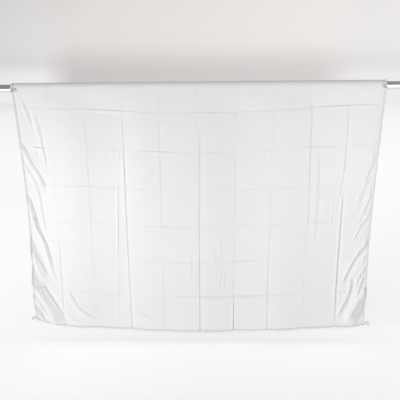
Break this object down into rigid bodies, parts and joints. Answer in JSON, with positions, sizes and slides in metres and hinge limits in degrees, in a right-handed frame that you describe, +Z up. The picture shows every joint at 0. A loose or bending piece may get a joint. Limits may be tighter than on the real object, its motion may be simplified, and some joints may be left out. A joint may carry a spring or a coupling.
{
  "type": "weighted blanket folded over a chrome rail",
  "caption": "Pale quilted weighted blanket with bound edges and small tape loops, folded over a round chrome rail so that both halves hang down.",
  "frame": {"origin": "centre of the rail's left end face, which is the mount rail_end_left", "axes": "+X along the rail towards its right end, +Z up, the long front drop of the blanket faces -Y"},
  "size_m": [1.8, 0.0571, 1.07],
  "materials": {
    "quilt_fabric": "pale warm-white satin cotton, softly sheened",
    "binding_fabric": "same cloth, folded and stitched as a narrow binding",
    "loop_tape": "narrow woven cotton tape",
    "rail_chrome": "bright polished chrome plate"
  },
  "bodies": {
    "root": {"quilted_cloth": "quilt_fabric", "binding_left": "binding_fabric", "binding_right": "binding_fabric", "binding_front_hem": "binding_fabric", "binding_back_hem": "binding_fabric", "loop_front_left": "loop_tape", "loop_front_right": "loop_tape", "loop_back_left": "loop_tape", "loop_back_right": "loop_tape", "loop_middle_left": "loop_tape", "loop_middle_right": "loop_tape", "rail": "rail_chrome"}
  },
  "joints": []
}
